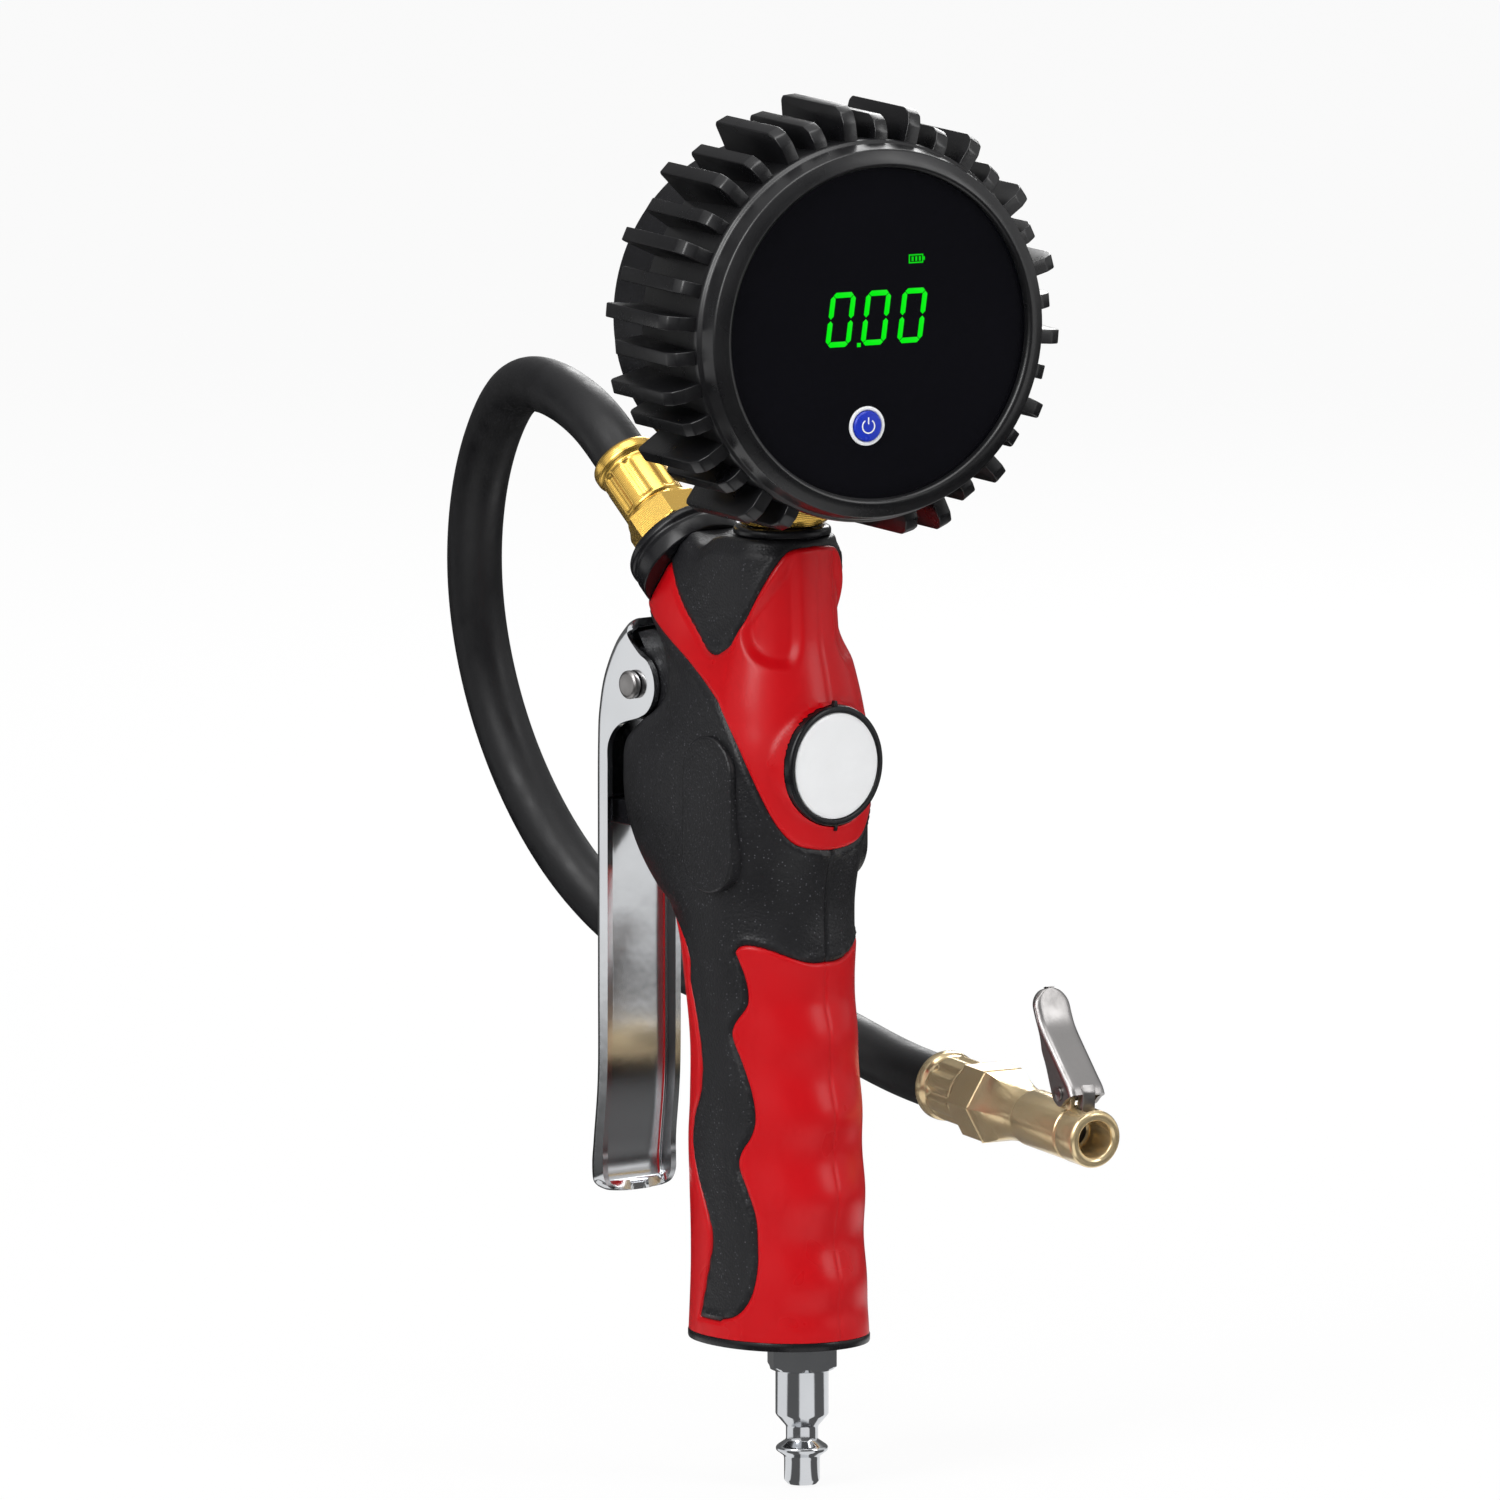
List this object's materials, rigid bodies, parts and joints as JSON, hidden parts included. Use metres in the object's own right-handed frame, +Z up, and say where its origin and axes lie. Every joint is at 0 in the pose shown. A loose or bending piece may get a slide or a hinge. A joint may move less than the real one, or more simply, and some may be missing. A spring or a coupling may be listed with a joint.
{
  "type": "tyre inflator with gauge",
  "caption": "Hand-held tyre inflator: pistol handle with squeeze lever, round digital pressure gauge in a finned rubber boot, air hose and clip-on chuck.",
  "frame": {"origin": "on the axis of the air inlet plug, at the lower face of its hexagon", "axes": "+Z runs up the handle to the gauge, -Y is the side that the gauge faces, +Y is the side of the squeeze lever and the hose port, +X completes the right-handed frame"},
  "size_m": [0.1295, 0.2155, 0.3128],
  "materials": {
    "plug_steel": "bright plated, turned",
    "bare_steel": "bare, satin",
    "lever_chrome": "bright nickel plate with soft waviness",
    "body_alloy": "die cast, as cast",
    "brass_fitting": "bright, machined",
    "housing_plastic": "fine spark-eroded texture",
    "case_plastic": "smooth, slight gloss",
    "red_grip": "smooth thermoplastic rubber, slight gloss",
    "boot_rubber": "smooth moulded rubber, satin",
    "hose_rubber": "extruded, satin",
    "seal_rubber": "matt",
    "badge_silver": "satin, bare",
    "board_green": "solder mask",
    "display_dark": "dark glass-like",
    "lens_clear": "polished, tinted almost black round the display's window",
    "bezel_white": "smooth",
    "button_blue": "smooth",
    "battery_wrap": "printed sleeve, bare of text"
  },
  "bodies": {
    "inflator": {"inlet_plug": "plug_steel", "inlet_seal": "seal_rubber", "inlet_strainer": "bare_steel", "base_cap": "housing_plastic", "valve_body": "body_alloy", "housing_left": "housing_plastic", "housing_right": "housing_plastic", "housing_screws": "bare_steel", "upper_grip": "red_grip", "lower_grip": "red_grip", "badge_ring": "case_plastic", "badge_disc": "badge_silver", "valve_end_plug": "brass_fitting", "end_plug_oring": "seal_rubber", "valve_sleeve": "brass_fitting", "return_spring": "bare_steel", "trigger_pivot_pin": "bare_steel", "pivot_clip": "bare_steel", "hose_port_collar": "case_plastic", "gauge_port_collar": "case_plastic", "gauge_stem": "brass_fitting", "gauge_stem_seal": "seal_rubber", "gauge_case": "case_plastic", "gauge_boot": "boot_rubber", "battery_door": "case_plastic", "battery_door_screw": "bare_steel", "batteries": "battery_wrap", "circuit_board": "board_green", "pressure_sensor": "bare_steel", "lcd_display": "display_dark", "button_switch": "bare_steel", "gauge_lens": "lens_clear", "button_bezel": "bezel_white", "hose_port_fitting": "brass_fitting", "gun_ferrule": "brass_fitting", "hose": "hose_rubber", "chuck_ferrule": "brass_fitting", "chuck_body": "brass_fitting", "chuck_seal": "seal_rubber", "chuck_depressor": "brass_fitting", "chuck_lever_pin": "bare_steel", "chuck_lever_spring": "bare_steel"},
    "squeeze_lever": {"trigger_lever": "lever_chrome"},
    "valve_spindle": {"valve_spool": "brass_fitting", "valve_seals": "seal_rubber", "valve_plunger": "case_plastic"},
    "button": {"power_button": "button_blue"},
    "clip": {"chuck_lever": "plug_steel"}
  },
  "joints": [
    {"name": "lever_squeeze", "type": "hinge", "parent": "inflator", "child": "squeeze_lever", "pos_m": [0, 0.0465, 0.15], "axis": [-1, 0, 0], "range_deg": [0, 8], "stiffness_Nm_per_rad": 6, "springref_deg": -2.86},
    {"name": "valve_slide", "type": "slide", "parent": "inflator", "child": "valve_spindle", "axis": [0, -1, 0], "range_m": [0, 0.00404], "stiffness_N_per_m": 600, "springref_m": -0.002, "deforming": ["return_spring"]},
    {"name": "button_press", "type": "slide", "parent": "inflator", "child": "button", "axis": [0.2113, 0.9774, 0], "range_m": [0, 0.0007], "stiffness_N_per_m": 800, "springref_m": -0.0005},
    {"name": "clip_open", "type": "hinge", "parent": "inflator", "child": "clip", "pos_m": [0.05651, -0.02782, 0.0601], "axis": [-0.989, 0.1478, 0], "range_deg": [0, 30], "stiffness_Nm_per_rad": 0.2, "springref_deg": -8.59, "deforming": ["chuck_lever_spring"]}
  ],
  "couplings": [
    {"joint": "valve_slide", "follows": "lever_squeeze", "m_per_rad": 0.0289}
  ]
}
